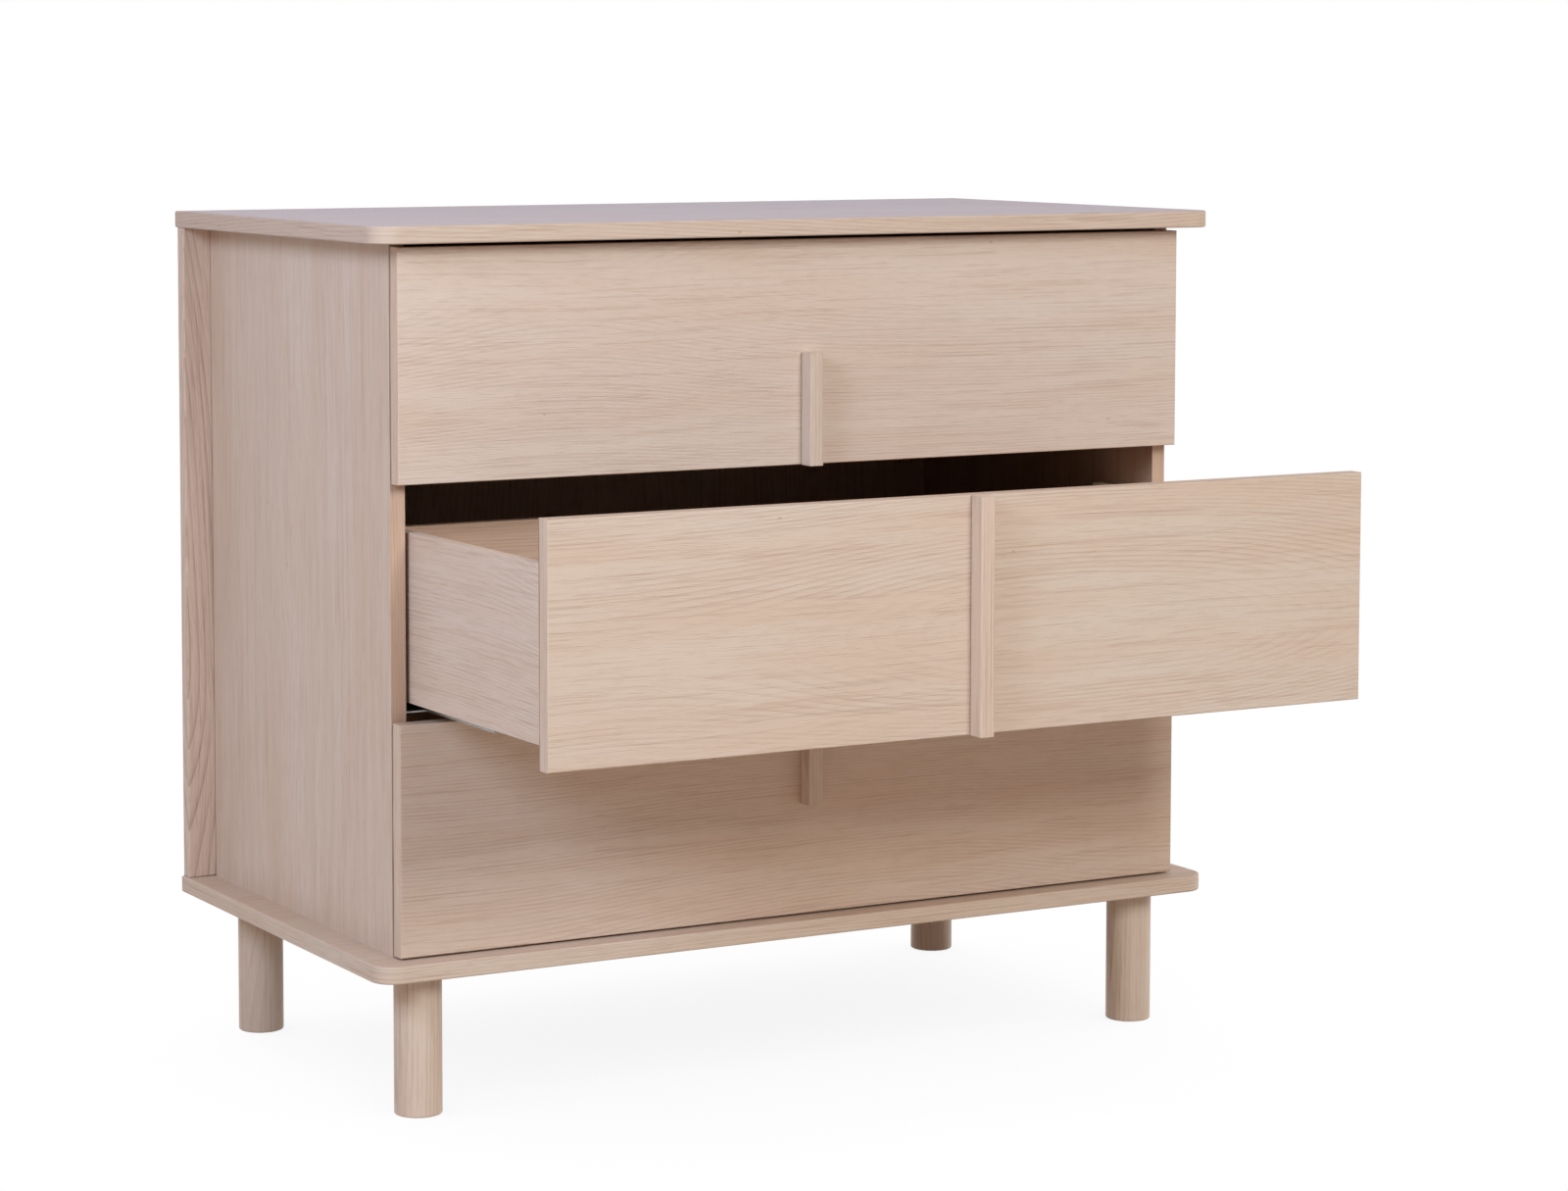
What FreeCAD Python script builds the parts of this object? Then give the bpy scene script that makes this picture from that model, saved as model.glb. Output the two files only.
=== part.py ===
import FreeCAD, Part
import os

# Wide chest of three drawers on four round legs. Millimetres, X right, Y to the back, Z up.
# The middle drawer stands open in the stored pose, the other two are closed.

# Top and bottom plates
plate_width = 1000.0
plate_thickness = 18.0
plate_corner_radius = 25.0
plate_edge_softening = 2.0

# Case panels between the plates
side_panel_thickness = 16.0
side_panel_inset = 33.0
back_panel_thickness = 16.0
back_panel_inset = 2.0
panel_edge_softening = 1.5

# Legs, each on a hanger bolt in an insert nut
leg_length = 147.0
leg_diameter = 49.0
leg_inset_from_ends = 66.0
leg_inset_from_front = 57.0
leg_inset_from_back = 65.0
leg_foot_softening = 2.0
leg_bolt_diameter = 8.0
leg_bolt_depth_in_leg = 32.0
leg_bolt_depth_in_plate = 11.0
insert_nut_diameter = 12.0
insert_nut_length = 13.0

# Drawer fronts
drawer_names = ("bottom", "middle", "top")
front_height = 235.0
front_thickness = 18.0
front_recess = 24.0
front_gap = 2.0
front_top_gap = 4.0
front_back_clearance = 2.0
front_edge_softening = 1.2
drawer_opening = {"bottom": 0.0, "middle": 328.0, "top": 0.0}

# Handle bars, one upright line over the three fronts
handle_width = 16.0
handle_projection = 21.0
handle_rounding = 3.0
short_handle_share = 0.5
handle_screw_diameter = 4.0
handle_screw_head_diameter = 8.0
handle_screw_head_height = 2.5
handle_screw_depth = 12.0
handle_screw_inset = 20.0

# Drawer boxes
drawer_box_depth = 420.0
drawer_side_height = 171.0
drawer_side_thickness = 12.0
drawer_side_gap = 5.0
drawer_side_lift = 16.0
drawer_back_thickness = 12.0
drawer_back_drop = 3.0
drawer_rear_room = 54.0
drawer_bottom_thickness = 6.0
drawer_bottom_lift = 14.0
drawer_groove_depth = 5.0
drawer_edge_softening = 1.0

# Runners under the drawers: a fixed case rail, a middle rail and a drawer rail on each side
rail_sheet = 1.5
rail_setback = 3.0
case_rail_length = 400.0
middle_rail_shortfall = 20.0
drawer_rail_shortfall = 8.0
case_rail_drop = 10.0
case_rail_flange_height = 34.0
case_rail_width = 46.0
case_rail_lip_height = 8.0
middle_rail_offset = 20.0
middle_rail_width = 24.0
middle_rail_wall_height = 12.0
rail_clearance = 0.3
rail_screw_diameter = 4.0
rail_screw_head_diameter = 7.0
rail_screw_head_height = 1.8
rail_screw_depth = 12.0
rail_screw_count = 3
rail_screw_inset = 40.0
rail_screw_height = 18.0

# Fittings that hold the boards together
case_dowel_diameter = 8.0
case_dowel_length = 30.0
case_dowel_depth_in_plate = 11.0
case_dowel_inset = 40.0
cam_diameter = 15.0
cam_depth = 12.5
cam_setback = 34.0
cam_bolt_diameter = 6.0
cam_bolt_depth_in_plate = 11.0
cam_inset = 90.0
back_screw_diameter = 4.0
back_screw_length = 45.0
back_screw_head_diameter = 8.0
back_screw_head_height = 2.5
back_screw_count = 4
back_screw_inset = 60.0
drawer_dowel_diameter = 6.0
drawer_dowel_length = 24.0
drawer_dowel_depth_in_front = 12.0
drawer_dowel_depth_in_side = 7.0
drawer_dowel_inset = 36.0
fitting_clearance = 0.1

# Places worked out from the sizes above
V = FreeCAD.Vector
along_x = V(1, 0, 0)
along_y = V(0, 1, 0)
along_z = V(0, 0, 1)
middle_rail_length = case_rail_length - middle_rail_shortfall
drawer_rail_length = case_rail_length - drawer_rail_shortfall
runner_reach = front_back_clearance + rail_setback + case_rail_length
inside_depth = max(drawer_box_depth, runner_reach) + drawer_rear_room
plate_depth = front_recess + front_thickness + inside_depth + back_panel_thickness + back_panel_inset
open_reach = max(drawer_opening.values()) - front_recess + handle_projection
plate_front = (open_reach - plate_depth) / 2
plate_back = plate_front + plate_depth
case_floor = leg_length + plate_thickness
case_height = len(drawer_names) * (front_height + front_gap) + front_top_gap
case_ceiling = case_floor + case_height
side_outer = plate_width / 2 - side_panel_inset
side_inner = side_outer - side_panel_thickness
side_middle = side_outer - side_panel_thickness / 2
front_face = plate_front + front_recess
front_back = front_face + front_thickness
side_front = front_back + front_back_clearance
back_panel_rear = plate_back - back_panel_inset
side_back = back_panel_rear - back_panel_thickness
drawer_outer = side_inner - drawer_side_gap
drawer_inner = drawer_outer - drawer_side_thickness
rail_front = side_front + rail_setback
rail_middle = side_inner - middle_rail_offset - middle_rail_width / 2


def block(low, high):
    """A box between two corners."""
    size = high - low
    return Part.makeBox(size.x, size.y, size.z, low)


def rod(diameter, start, direction, length, room=0.0):
    """A round bar from a start point; room is added all round for a hole."""
    return Part.makeCylinder(diameter / 2 + room, length, start, direction)


def edges_in_plane(shape, axis, place):
    """The edges that lie wholly in the plane where the axis has this value."""
    return [e for e in shape.Edges if all(abs(getattr(v.Point, axis) - place) < 1e-6 for v in e.Vertexes)]


def upright_edges(shape, x, y):
    """The edges that stand upright at this place."""
    return [e for e in shape.Edges if all(abs(v.X - x) + abs(v.Y - y) < 1e-6 for v in e.Vertexes)]


def save(node, shape):
    """Writes one node."""
    shape.exportStep("parts/" + node + ".step")


def spread(first, last, count):
    """Evenly spaced places from first to last."""
    return [first + (last - first) * i / (count - 1) for i in range(count)]


def front_bottom(name):
    """Height of the lower edge of a drawer front."""
    return case_floor + front_gap + drawer_names.index(name) * (front_height + front_gap)


def box_bottom(name):
    """Height of the lower edge of a drawer's sides."""
    return front_bottom(name) + drawer_side_lift


# Places of the fittings
leg_x_places = [-plate_width / 2 + leg_inset_from_ends, plate_width / 2 - leg_inset_from_ends]
leg_y_places = [plate_front + leg_inset_from_front, plate_back - leg_inset_from_back]
case_dowel_y_places = [side_front + case_dowel_inset, side_back - case_dowel_inset]
cam_y_places = [side_front + cam_inset, side_back - cam_inset]
back_screw_heights = spread(case_floor + back_screw_inset, case_ceiling - back_screw_inset,
                            back_screw_count)
rail_screw_y_places = spread(rail_front + rail_screw_inset,
                             rail_front + case_rail_length - rail_screw_inset, rail_screw_count)


def leg_axes():
    """The four leg axes at floor height."""
    return [V(x, y, 0) for y in leg_y_places for x in leg_x_places]


def insert_nut_bodies(room=0.0):
    """Round bodies of the insert nuts in the bottom plate."""
    return [rod(insert_nut_diameter, p + along_z * leg_length, along_z, insert_nut_length, room) for p in leg_axes()]


def leg_bolts(room=0.0):
    """Hanger bolts that hold the legs."""
    length = leg_bolt_depth_in_leg + leg_bolt_depth_in_plate
    low = along_z * (leg_length - leg_bolt_depth_in_leg)
    return [rod(leg_bolt_diameter, p + low, along_z, length, room) for p in leg_axes()]


def case_dowels(room=0.0):
    """Dowels between the side panels and both plates."""
    dowels = []
    for x in (-side_middle, side_middle):
        for y in case_dowel_y_places:
            low_start = V(x, y, case_floor - case_dowel_depth_in_plate)
            high_start = V(x, y, case_ceiling + case_dowel_depth_in_plate)
            dowels.append(rod(case_dowel_diameter, low_start, along_z, case_dowel_length, room))
            dowels.append(rod(case_dowel_diameter, high_start, -along_z, case_dowel_length, room))
    return dowels


def cam_bolts(room=0.0):
    """Bolts that stand in the plates and end in the middle of the cams."""
    bolts = []
    length = cam_bolt_depth_in_plate + cam_setback
    for x in (-side_middle, side_middle):
        for y in cam_y_places:
            low_start = V(x, y, case_floor - cam_bolt_depth_in_plate)
            high_start = V(x, y, case_ceiling + cam_bolt_depth_in_plate)
            bolts.append(rod(cam_bolt_diameter, low_start, along_z, length, room))
            bolts.append(rod(cam_bolt_diameter, high_start, -along_z, length, room))
    return bolts


def cam_bodies(room=0.0):
    """Round cams let into the inner faces of the side panels."""
    cams = []
    for side in (-1, 1):
        for y in cam_y_places:
            for z in (case_floor + cam_setback, case_ceiling - cam_setback):
                cams.append(rod(cam_diameter, V(side * side_inner, y, z), along_x * side, cam_depth, room))
    return cams


def back_screws(room=0.0):
    """Countersunk screws through the back panel into the rear edges of the sides."""
    screws = []
    for x in (-side_middle, side_middle):
        for z in back_screw_heights:
            rear = V(x, back_panel_rear, z)
            shank = rod(back_screw_diameter, rear, -along_y, back_screw_length, room)
            head = Part.makeCone(back_screw_head_diameter / 2 + room, back_screw_diameter / 2 + room,
                                 back_screw_head_height, rear, -along_y)
            screws.append(shank.fuse(head).removeSplitter())
    return screws


def rail_screws(name, side, room=0.0):
    """Screws through the flange of one case rail into the side panel."""
    screws = []
    z = box_bottom(name) - case_rail_drop + rail_screw_height
    for y in rail_screw_y_places:
        seat = V(side * (side_inner - rail_sheet), y, z)
        shank = rod(rail_screw_diameter, seat, along_x * side, rail_sheet + rail_screw_depth, room)
        head = rod(rail_screw_head_diameter, seat, -along_x * side, rail_screw_head_height)
        screws.append(shank.fuse(head).removeSplitter())
    return screws


def plate(low_z):
    """A plate with rounded front corners and softened edges."""
    board = block(V(-plate_width / 2, plate_front, low_z), V(plate_width / 2, plate_back, low_z + plate_thickness))
    upright = [e for e in edges_in_plane(board, "y", plate_front)
               if abs(e.Vertexes[0].Z - e.Vertexes[1].Z) > plate_thickness / 2]
    board = board.makeFillet(plate_corner_radius, upright)
    rims = edges_in_plane(board, "z", low_z) + edges_in_plane(board, "z", low_z + plate_thickness)
    return board.makeFillet(plate_edge_softening, rims)


def top_panel():
    """Upper plate, drilled from below."""
    return plate(case_ceiling).cut(case_dowels(fitting_clearance) + cam_bolts(fitting_clearance))


def bottom_panel():
    """Lower plate, drilled for the sides above and the legs below."""
    holes = case_dowels(fitting_clearance) + cam_bolts(fitting_clearance) + insert_nut_bodies(fitting_clearance)
    return plate(leg_length).cut(holes)


def side_panel(side):
    """A side panel between the plates, softened where its outer face meets the back panel."""
    low_x, high_x = sorted((side * side_inner, side * side_outer))
    board = block(V(low_x, side_front, case_floor), V(high_x, side_back, case_ceiling))
    board = board.makeFillet(panel_edge_softening, upright_edges(board, side * side_outer, side_back))
    holes = case_dowels(fitting_clearance) + cam_bolts(fitting_clearance) + cam_bodies(fitting_clearance)
    holes += back_screws(fitting_clearance)
    for name in drawer_names:
        holes += rail_screws(name, side, fitting_clearance)
    return board.cut(holes)


def back_panel():
    """Full back panel between the plates, with softened edges on its front face."""
    half = plate_width / 2 - back_panel_inset
    board = block(V(-half, side_back, case_floor), V(half, back_panel_rear, case_ceiling))
    board = board.makeFillet(panel_edge_softening, edges_in_plane(board, "y", side_back))
    return board.cut(back_screws(fitting_clearance))


def leg(axis_point, bolts):
    """A plain turned leg with a softened foot."""
    post = rod(leg_diameter, axis_point, along_z, leg_length)
    post = post.makeFillet(leg_foot_softening, edges_in_plane(post, "z", 0.0))
    return post.cut(bolts)


def section_bar(points, front, length):
    """Extrudes a closed outline of (x, z) points to the back."""
    corners = [V(x, front, z) for x, z in points]
    outline = Part.makePolygon(corners + corners[:1])
    return Part.Face(outline).extrude(along_y * length)


def channel(middle_x, width, web_z, wall_end_z, front, length):
    """A folded channel: a web at web_z and two walls that end at wall_end_z."""
    way = 1 if wall_end_z > web_z else -1
    half = width / 2
    inside = half - rail_sheet
    web_inside = web_z + way * rail_sheet
    outline = [(-half, web_z), (half, web_z), (half, wall_end_z), (inside, wall_end_z),
               (inside, web_inside), (-inside, web_inside), (-inside, wall_end_z), (-half, wall_end_z)]
    return section_bar([(middle_x + x, z) for x, z in outline], front, length)


def case_rail(name, side):
    """Fixed rail: a flange on the side panel, a tray under the drawer and a low lip."""
    low = box_bottom(name) - case_rail_drop
    flange_top = low + case_rail_flange_height
    lip_top = low + case_rail_lip_height
    lip_inside = case_rail_width - rail_sheet
    tray_top = low + rail_sheet
    outline = [(0, low), (case_rail_width, low), (case_rail_width, lip_top), (lip_inside, lip_top),
               (lip_inside, tray_top), (rail_sheet, tray_top), (rail_sheet, flange_top), (0, flange_top)]
    points = [(side * (side_inner - reach), z) for reach, z in outline]
    bar = section_bar(points, rail_front, case_rail_length)
    return bar.cut(rail_screws(name, side, fitting_clearance))


def middle_rail(name, side):
    """Rail that runs between case and drawer at half the drawer's travel."""
    web = box_bottom(name) - case_rail_drop + rail_sheet + rail_clearance
    front = rail_front - drawer_opening[name] / 2
    return channel(side * rail_middle, middle_rail_width, web, web + middle_rail_wall_height, front,
                   middle_rail_length)


def drawer_rail(name, side):
    """Rail under the drawer bottom, nested in the middle rail."""
    web = box_bottom(name) + drawer_bottom_lift
    feet = box_bottom(name) - case_rail_drop + 2 * (rail_sheet + rail_clearance)
    width = middle_rail_width - 2 * (rail_sheet + rail_clearance)
    return channel(side * rail_middle, width, web, feet, rail_front - drawer_opening[name], drawer_rail_length)


def handle_span(name):
    """Lowest and highest end of a handle bar: half a front at the ends of the line, a whole one between."""
    low = front_bottom(name)
    high = low + front_height
    part = front_height * short_handle_share
    if name == drawer_names[0]:
        return high - part, high
    if name == drawer_names[-1]:
        return low, low + part
    return low, high


def handle_screws(name, room=0.0):
    """Two screws from inside the drawer into its handle bar."""
    low, high = handle_span(name)
    box_floor = box_bottom(name) + drawer_bottom_lift + drawer_bottom_thickness
    screws = []
    for z in (max(low, box_floor) + handle_screw_inset, high - handle_screw_inset):
        seat = V(0, front_back - drawer_opening[name], z)
        shank = rod(handle_screw_diameter, seat, -along_y, front_thickness + handle_screw_depth, room)
        head = rod(handle_screw_head_diameter, seat, along_y, handle_screw_head_height)
        screws.append(shank.fuse(head).removeSplitter())
    return screws


def handle(name):
    """An upright bar with rounded long edges."""
    low, high = handle_span(name)
    rear = front_face - drawer_opening[name]
    bar = block(V(-handle_width / 2, rear - handle_projection, low), V(handle_width / 2, rear, high))
    long_edges = [e for e in bar.Edges if abs(e.Vertexes[0].Z - e.Vertexes[1].Z) > handle_width]
    bar = bar.makeFillet(handle_rounding, long_edges)
    return bar.cut(handle_screws(name, fitting_clearance))


def drawer_dowels(name, room=0.0):
    """Dowels that join a drawer's sides to its front and to its back."""
    dowels = []
    front_joint = front_back - drawer_opening[name]
    back_middle = front_joint + drawer_box_depth - drawer_back_thickness / 2
    board_middle = drawer_outer - drawer_side_thickness / 2
    low = box_bottom(name) + drawer_bottom_lift + drawer_bottom_thickness
    high = box_bottom(name) + drawer_side_height - drawer_back_drop
    for z in (low + drawer_dowel_inset, high - drawer_dowel_inset):
        for side in (-1, 1):
            front_start = V(side * board_middle, front_joint - drawer_dowel_depth_in_front, z)
            back_start = V(side * (drawer_inner + drawer_dowel_depth_in_side), back_middle, z)
            dowels.append(rod(drawer_dowel_diameter, front_start, along_y, drawer_dowel_length, room))
            dowels.append(rod(drawer_dowel_diameter, back_start, -along_x * side, drawer_dowel_length, room))
    return dowels


def drawer_front(name):
    """An overlay front with softened edges on its show face."""
    face = front_face - drawer_opening[name]
    low = front_bottom(name)
    board = block(V(-side_outer, face, low), V(side_outer, face + front_thickness, low + front_height))
    board = board.makeFillet(front_edge_softening, edges_in_plane(board, "y", face))
    return board.cut(handle_screws(name, fitting_clearance) + drawer_dowels(name, fitting_clearance))


def drawer_bottom_board(name):
    """Thin bottom that runs in the grooves of the sides and under the back."""
    front = front_back - drawer_opening[name]
    low = box_bottom(name) + drawer_bottom_lift
    half = drawer_inner + drawer_groove_depth
    return block(V(-half, front, low), V(half, front + drawer_box_depth, low + drawer_bottom_thickness))


def drawer_side(name, side):
    """A grooved side board with a softened upper edge."""
    front = front_back - drawer_opening[name]
    low_x, high_x = sorted((side * drawer_inner, side * drawer_outer))
    low = box_bottom(name)
    top = low + drawer_side_height
    board = block(V(low_x, front, low), V(high_x, front + drawer_box_depth, top))
    long_edges = [e for e in edges_in_plane(board, "z", top) if e.Length > drawer_box_depth / 2]
    board = board.makeFillet(drawer_edge_softening, long_edges)
    return board.cut([drawer_bottom_board(name)] + drawer_dowels(name, fitting_clearance))


def drawer_back(name):
    """The back board, which stands on the bottom between the sides."""
    rear = front_back - drawer_opening[name] + drawer_box_depth
    low = box_bottom(name) + drawer_bottom_lift + drawer_bottom_thickness
    top = box_bottom(name) + drawer_side_height - drawer_back_drop
    board = block(V(-drawer_inner, rear - drawer_back_thickness, low), V(drawer_inner, rear, top))
    long_edges = [e for e in edges_in_plane(board, "z", top) if e.Length > drawer_inner]
    board = board.makeFillet(drawer_edge_softening, long_edges)
    return board.cut(drawer_dowels(name, fitting_clearance))


def build_case():
    """Writes the fixed pieces of the chest."""
    save("top_panel", top_panel())
    save("bottom_panel", bottom_panel())
    save("back_panel", back_panel())
    save("left_side_panel", side_panel(-1))
    save("right_side_panel", side_panel(1))
    leg_names = ("front_left_leg", "front_right_leg", "rear_left_leg", "rear_right_leg")
    for node, axis_point in zip(leg_names, leg_axes()):
        save(node, leg(axis_point, leg_bolts(fitting_clearance)))
    save("leg_bolts", Part.makeCompound(leg_bolts()))
    nuts = [nut.cut(leg_bolts(fitting_clearance)) for nut in insert_nut_bodies()]
    save("leg_insert_nuts", Part.makeCompound(nuts))
    save("case_dowels", Part.makeCompound(case_dowels()))
    save("case_cam_bolts", Part.makeCompound(cam_bolts()))
    cams = [cam.cut(cam_bolts(fitting_clearance)) for cam in cam_bodies()]
    save("case_cams", Part.makeCompound(cams))
    save("back_panel_screws", Part.makeCompound(back_screws()))
    screws = []
    for name in drawer_names:
        for word, side in (("left", -1), ("right", 1)):
            save(name + "_" + word + "_case_rail", case_rail(name, side))
            screws += rail_screws(name, side)
    save("case_rail_screws", Part.makeCompound(screws))


def build_drawer(name):
    """Writes one drawer and its middle rails."""
    save(name + "_drawer_front", drawer_front(name))
    save(name + "_drawer_handle", handle(name))
    save(name + "_drawer_back", drawer_back(name))
    save(name + "_drawer_bottom", drawer_bottom_board(name))
    save(name + "_drawer_dowels", Part.makeCompound(drawer_dowels(name)))
    save(name + "_handle_screws", Part.makeCompound(handle_screws(name)))
    for word, side in (("left", -1), ("right", 1)):
        save(name + "_drawer_" + word + "_side", drawer_side(name, side))
        save(name + "_" + word + "_drawer_rail", drawer_rail(name, side))
        save(name + "_" + word + "_middle_rail", middle_rail(name, side))


os.makedirs("parts", exist_ok=True)
build_case()
for drawer_name in drawer_names:
    build_drawer(drawer_name)
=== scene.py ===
# %% [markdown]
# A chest of three wide drawers between two oak-faced plates, on four round legs. The solids come in as a
# fixed frame: every board, rail and screw is already at its real size and place. What is left for Blender
# is how the chest looks, so this lesson is about light, wood and metal.

# %% Load the chest
import math
import bmesh
import bpy
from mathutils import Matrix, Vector


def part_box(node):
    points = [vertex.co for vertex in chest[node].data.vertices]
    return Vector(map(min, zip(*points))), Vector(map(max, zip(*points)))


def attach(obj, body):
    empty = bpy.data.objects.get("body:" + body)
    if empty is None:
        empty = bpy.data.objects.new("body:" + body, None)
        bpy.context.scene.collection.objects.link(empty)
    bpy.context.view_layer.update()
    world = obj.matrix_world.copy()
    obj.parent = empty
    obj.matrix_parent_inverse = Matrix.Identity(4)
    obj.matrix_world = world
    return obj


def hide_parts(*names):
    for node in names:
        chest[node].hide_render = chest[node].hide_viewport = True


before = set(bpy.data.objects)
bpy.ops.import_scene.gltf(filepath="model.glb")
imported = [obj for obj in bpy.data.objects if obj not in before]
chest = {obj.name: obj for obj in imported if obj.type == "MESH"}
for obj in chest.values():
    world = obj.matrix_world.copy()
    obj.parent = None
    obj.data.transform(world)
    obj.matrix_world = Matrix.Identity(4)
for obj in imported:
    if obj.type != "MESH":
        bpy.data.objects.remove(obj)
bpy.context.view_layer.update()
scene = bpy.context.scene
print("pieces loaded:", len(chest))

# %% [markdown]
# The camera stands to the left of the chest, a little higher than its top, and has a long lens. One could
# turn it until the picture looks right. Here its place was worked out from the corners of the boards, so
# the values are a place in metres, two angles in degrees, and a lens in pixels of the picture. The
# optical axis isn't in the middle of the picture, because the picture was cropped: a lens shift does
# that.

# %% Camera
photo_width = 1600
photo_height = 1215
axis_pixel_x = 700
axis_pixel_y = 420
focal_length_pixels = 4087
camera_place = (-2.0969, -3.6705, 1.0395)
camera_pitch = -4.727
camera_yaw = -28.546
film_width = 36

camera_data = bpy.data.cameras.new("studio_camera")
camera_data.sensor_fit = "HORIZONTAL"
camera_data.sensor_width = film_width
camera_data.lens = focal_length_pixels / photo_width * film_width
camera_data.shift_x = (photo_width / 2 - axis_pixel_x) / photo_width
camera_data.shift_y = -(photo_height / 2 - axis_pixel_y) / photo_width
camera = bpy.data.objects.new("studio_camera", camera_data)
camera.location = camera_place
# A camera that isn't turned looks straight down, so a level view is a tilt of 90 degrees.
camera.rotation_euler = (math.radians(90 + camera_pitch), 0, math.radians(camera_yaw))
scene.collection.objects.link(camera)
scene.camera = camera
scene.view_settings.view_transform = "Standard"
print("lens:", round(camera_data.lens, 1), "mm")

# %% [markdown]
# Materials are trees of small nodes. A few helpers keep the trees readable: one adds a node and fills its
# sockets, one does a sum, one makes smooth noise, one eases between two limits, and one blends two
# colours. Without them every node would take five lines, and the thought behind a material would be hard
# to see.

# %% Helpers for node trees
def feed(tree, socket, value):
    """Link another node's output to the socket, or set the socket to a plain value."""
    if isinstance(value, bpy.types.NodeSocket):
        tree.links.new(value, socket)
    else:
        socket.default_value = value


def add_node(tree, kind, inputs, **settings):
    """Add a node, choose its settings and fill its input sockets."""
    node = tree.nodes.new(kind)
    for name, value in settings.items():
        setattr(node, name, value)
    for key, value in inputs.items():
        feed(tree, node.inputs[key], value)
    return node


def calculate(tree, operation, *values):
    """One sum on numbers that change over the surface."""
    return add_node(tree, "ShaderNodeMath", dict(enumerate(values)), operation=operation).outputs[0]


def noise(tree, vector, detail):
    """Smooth random values, 0 to 1, that change about once per unit of the coordinate."""
    return add_node(tree, "ShaderNodeTexNoise", {"Vector": vector, "Scale": 1, "Detail": detail}).outputs[0]


def ramp(tree, value, low, high, to_low=0, to_high=1):
    """Ease from one value to another while the input goes from low to high."""
    inputs = {"Value": value, "From Min": low, "From Max": high, "To Min": to_low, "To Max": to_high}
    return add_node(tree, "ShaderNodeMapRange", inputs, interpolation_type="SMOOTHSTEP").outputs[0]


def mix_colour(tree, share, first, second):
    """The first colour where the share is 0, the second where it is 1."""
    # A mix node has a pair of sockets for each kind of value. Colours are 6 and 7.
    return add_node(tree, "ShaderNodeMix", {0: share, 6: first, 7: second}, data_type="RGBA").outputs[2]


def surface_place(tree):
    """Where the surface lies, in metres along the axes of the chest."""
    return tree.nodes.new("ShaderNodeTexCoord").outputs["Object"]


def new_material(name):
    """A material with an empty node tree."""
    material = bpy.data.materials.new(name)
    material.use_nodes = True
    material.node_tree.nodes.clear()
    return material, material.node_tree


print("helpers for node trees ready")

# %% [markdown]
# A studio picture of furniture has a white floor that runs into a white wall, and only a breath of
# shadow. Making them white with more light would bleach the wood. So the background is white only for
# rays that the camera, a gloss or a glass sends out, and for all other rays it is a dim, warm room.

# %% Background
white = (1, 1, 1, 1)
room_light = (1.0, 0.74, 0.63, 1)
room_light_strength = 0.35


def sees_background(tree):
    """1 for rays from the camera, from a gloss and through glass, else 0."""
    path = tree.nodes.new("ShaderNodeLightPath").outputs
    seen = calculate(tree, "MAXIMUM", path["Is Camera Ray"], path["Is Glossy Ray"])
    return calculate(tree, "MAXIMUM", seen, path["Is Transmission Ray"])


def two_faced(tree, lit, seen):
    """One shader for the light that bounces around, another for rays that look at the background."""
    shaders = {0: sees_background(tree), 1: lit.outputs[0], 2: seen.outputs[0]}
    return add_node(tree, "ShaderNodeMixShader", shaders).outputs[0]


def studio_room():
    world = bpy.data.worlds.new("studio")
    world.use_nodes = True
    tree = world.node_tree
    tree.nodes.clear()
    lit = add_node(tree, "ShaderNodeBackground", {"Color": room_light, "Strength": room_light_strength})
    seen = add_node(tree, "ShaderNodeBackground", {"Color": white, "Strength": 1})
    add_node(tree, "ShaderNodeOutputWorld", {"Surface": two_faced(tree, lit, seen)})
    return world


scene.world = studio_room()
print("room light:", room_light_strength)

# %% [markdown]
# The floor is one flat sheet. To the camera it is white, and it darkens a little where the chest covers
# much of the sky above it: that is its soft shadow. A shadow cast by the lamps would be much darker. For
# the light that bounces up to the wood, the floor is a warm half-tone with faint clouds.

# %% Floor
floor_half_width = 2.4
floor_corners = ((-1, -1, 0), (1, -1, 0), (1, 1, 0), (-1, 1, 0))
floor_tones = ((0.57, 0.475, 0.38, 1), (0.63, 0.525, 0.42, 1))
floor_cloud_detail = 3
floor_cloud_limits = (0.3, 0.7)
shadow_reach = 0.5
shadow_depth = 0.14
shadow_falloff = 2.5


def floor_sheet():
    mesh = bpy.data.meshes.new("floor")
    mesh.from_pydata([Vector(corner) * floor_half_width for corner in floor_corners], [], [(0, 1, 2, 3)])
    return bpy.data.objects.new("floor", mesh)


def floor_finish():
    material, tree = new_material("white_floor")
    clouds = ramp(tree, noise(tree, surface_place(tree), floor_cloud_detail), *floor_cloud_limits)
    lit = add_node(tree, "ShaderNodeBsdfDiffuse", {"Color": mix_colour(tree, clouds, *floor_tones)})
    open_sky = add_node(tree, "ShaderNodeAmbientOcclusion", {"Distance": shadow_reach}).outputs["AO"]
    covered = calculate(tree, "POWER", calculate(tree, "SUBTRACT", 1, open_sky), shadow_falloff)
    brightness = calculate(tree, "SUBTRACT", 1, calculate(tree, "MULTIPLY", covered, shadow_depth))
    seen = add_node(tree, "ShaderNodeEmission", {"Color": white, "Strength": brightness})
    add_node(tree, "ShaderNodeOutputMaterial", {"Surface": two_faced(tree, lit, seen)})
    return material


floor = floor_sheet()
floor.data.materials.append(floor_finish())
scene.collection.objects.link(floor)
print("floor:", 2 * floor_half_width, "m wide")

# %% [markdown]
# Two large softboxes light the picture, both about a third of the way up from the horizon. A neutral one
# stands in front of the chest, so the fronts are the brightest faces and the open drawer shades the front
# below it. A cool one stands to the left and lights the side; what neither reaches is lit by the warm
# room and floor. Two low ones, behind and to the right, add next to nothing to this picture, but they
# keep the other sides from going dark. They light the chest alone, so the floor keeps its shadow. A
# lamp's level is 1 where a white sheet that faces it comes out exactly white.

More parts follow.
